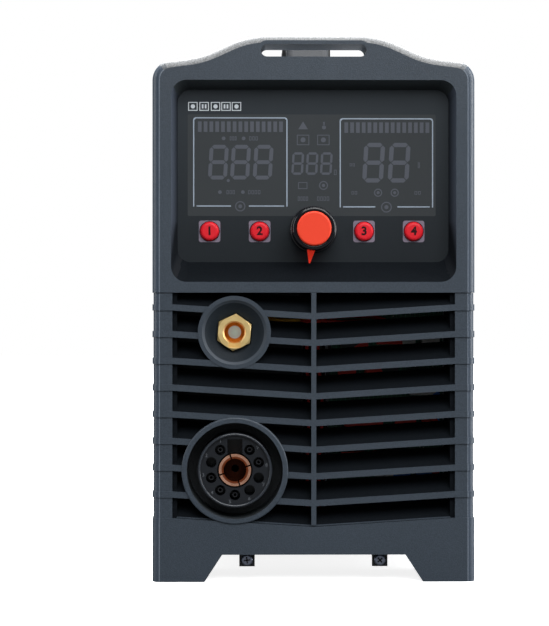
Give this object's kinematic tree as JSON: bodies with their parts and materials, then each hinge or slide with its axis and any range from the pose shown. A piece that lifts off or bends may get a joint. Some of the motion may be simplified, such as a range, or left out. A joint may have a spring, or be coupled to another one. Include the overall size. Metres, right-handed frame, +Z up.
{
  "type": "plasma cutter unit",
  "caption": "Portable inverter plasma cutting power unit with display, push buttons, knob, work-lead and torch sockets in a louvred front, rear fan, regulator and top handle.",
  "frame": {"origin": "under the middle of the unit, on the surface it stands on", "axes": "+Z up, the front faces -Y, +X to the right seen from the front"},
  "size_m": [0.208, 0.488, 0.3735],
  "materials": {
    "moulding_grey": "fine textured moulded plastic",
    "overlay_black": "satin printed film",
    "window_smoke": "glossy smoked window",
    "display_dark": "dark display block",
    "board_green": "coated circuit board",
    "switch_black": "black moulded plastic",
    "button_red": "red moulded cap",
    "bright_steel": "plated steel",
    "knob_black": "glossy black knob",
    "knob_orange": "orange insert",
    "pointer_red": "red pointer",
    "contact_copper": "bare copper",
    "socket_brass": "turned brass",
    "sheet_grey": "powder-coated sheet",
    "zinc_sheet": "zinc-plated sheet",
    "handle_black": "textured black plastic",
    "grip_rubber": "soft black rubber",
    "cast_alloy": "satin alloy",
    "bowl_clear": "clear polycarbonate bowl",
    "hose_blue": "blue hose",
    "capacitor_black": "sleeved can",
    "core_dark": "ferrite",
    "lead_red": "insulated lead"
  },
  "bodies": {
    "case": {"front_bezel": "moulding_grey", "front_frame": "moulding_grey", "louvre_panel": "moulding_grey", "display_overlay": "overlay_black", "display_window": "window_smoke", "display_module": "display_dark", "display_board": "board_green", "button_switches": "switch_black", "encoder_body": "bright_steel", "torch_surround": "moulding_grey", "torch_socket_body": "switch_black", "torch_contact": "contact_copper", "torch_pins": "bright_steel", "work_surround": "moulding_grey", "work_socket": "socket_brass", "work_stud": "bright_steel", "socket_plate": "zinc_sheet", "front_lugs": "zinc_sheet", "chassis_tray": "zinc_sheet", "top_cover": "sheet_grey", "machine_screws": "bright_steel", "carry_handle": "handle_black", "handle_grip": "grip_rubber", "rear_panel": "moulding_grey", "fan_housing": "switch_black", "fan_guard": "bright_steel", "switch_body": "switch_black", "cord_gland": "switch_black", "panel_nuts": "bright_steel", "control_socket": "switch_black", "regulator_bracket": "zinc_sheet", "regulator_body": "cast_alloy", "regulator_bowl": "bowl_clear", "inlet_fitting": "socket_brass", "air_elbow": "socket_brass", "solenoid_valve": "switch_black", "air_hose": "hose_blue", "heat_sinks": "cast_alloy", "power_board": "board_green", "bus_capacitors": "capacitor_black", "transformer_core": "core_dark", "transformer_winding": "contact_copper", "output_choke": "contact_copper", "output_leads": "lead_red", "control_board": "board_green", "board_parts": "switch_black", "board_bracket": "zinc_sheet", "board_standoffs": "socket_brass", "signal_leads": "lead_red"},
    "knob": {"knob_body": "knob_black", "knob_cap": "knob_orange", "knob_pointer": "pointer_red", "encoder_shaft": "bright_steel"},
    "fan": {"fan_rotor": "switch_black"},
    "power_lever": {"switch_lever": "grip_rubber"},
    "pressure_knob": {"regulator_knob": "grip_rubber"},
    "push_button_1": {"button_1": "button_red"},
    "push_button_2": {"button_2": "button_red"},
    "push_button_3": {"button_3": "button_red"},
    "push_button_4": {"button_4": "button_red"}
  },
  "joints": [
    {"name": "button_1_press", "type": "slide", "parent": "case", "child": "push_button_1", "axis": [0, 1, 0], "range_m": [0, 0.0012], "stiffness_N_per_m": 250, "springref_m": -0.001},
    {"name": "button_2_press", "type": "slide", "parent": "case", "child": "push_button_2", "axis": [0, 1, 0], "range_m": [0, 0.0012], "stiffness_N_per_m": 250, "springref_m": -0.001},
    {"name": "button_3_press", "type": "slide", "parent": "case", "child": "push_button_3", "axis": [0, 1, 0], "range_m": [0, 0.0012], "stiffness_N_per_m": 250, "springref_m": -0.001},
    {"name": "button_4_press", "type": "slide", "parent": "case", "child": "push_button_4", "axis": [0, 1, 0], "range_m": [0, 0.0012], "stiffness_N_per_m": 250, "springref_m": -0.001},
    {"name": "knob_turn", "type": "hinge", "parent": "case", "child": "knob", "pos_m": [0, -0.223, 0.227], "axis": [0, 1, 0], "continuous": true},
    {"name": "fan_spin", "type": "hinge", "parent": "case", "child": "fan", "pos_m": [0, 0.174, 0.104], "axis": [0, 1, 0], "continuous": true},
    {"name": "power_throw", "type": "hinge", "parent": "case", "child": "power_lever", "pos_m": [0.055, 0.188, 0.266], "axis": [1, 0, 0], "range_deg": [0, 48]},
    {"name": "pressure_turn", "type": "hinge", "parent": "case", "child": "pressure_knob", "pos_m": [-0.05, 0.224, 0.26], "axis": [0, 0, 1], "range_deg": [-540, 540]}
  ]
}
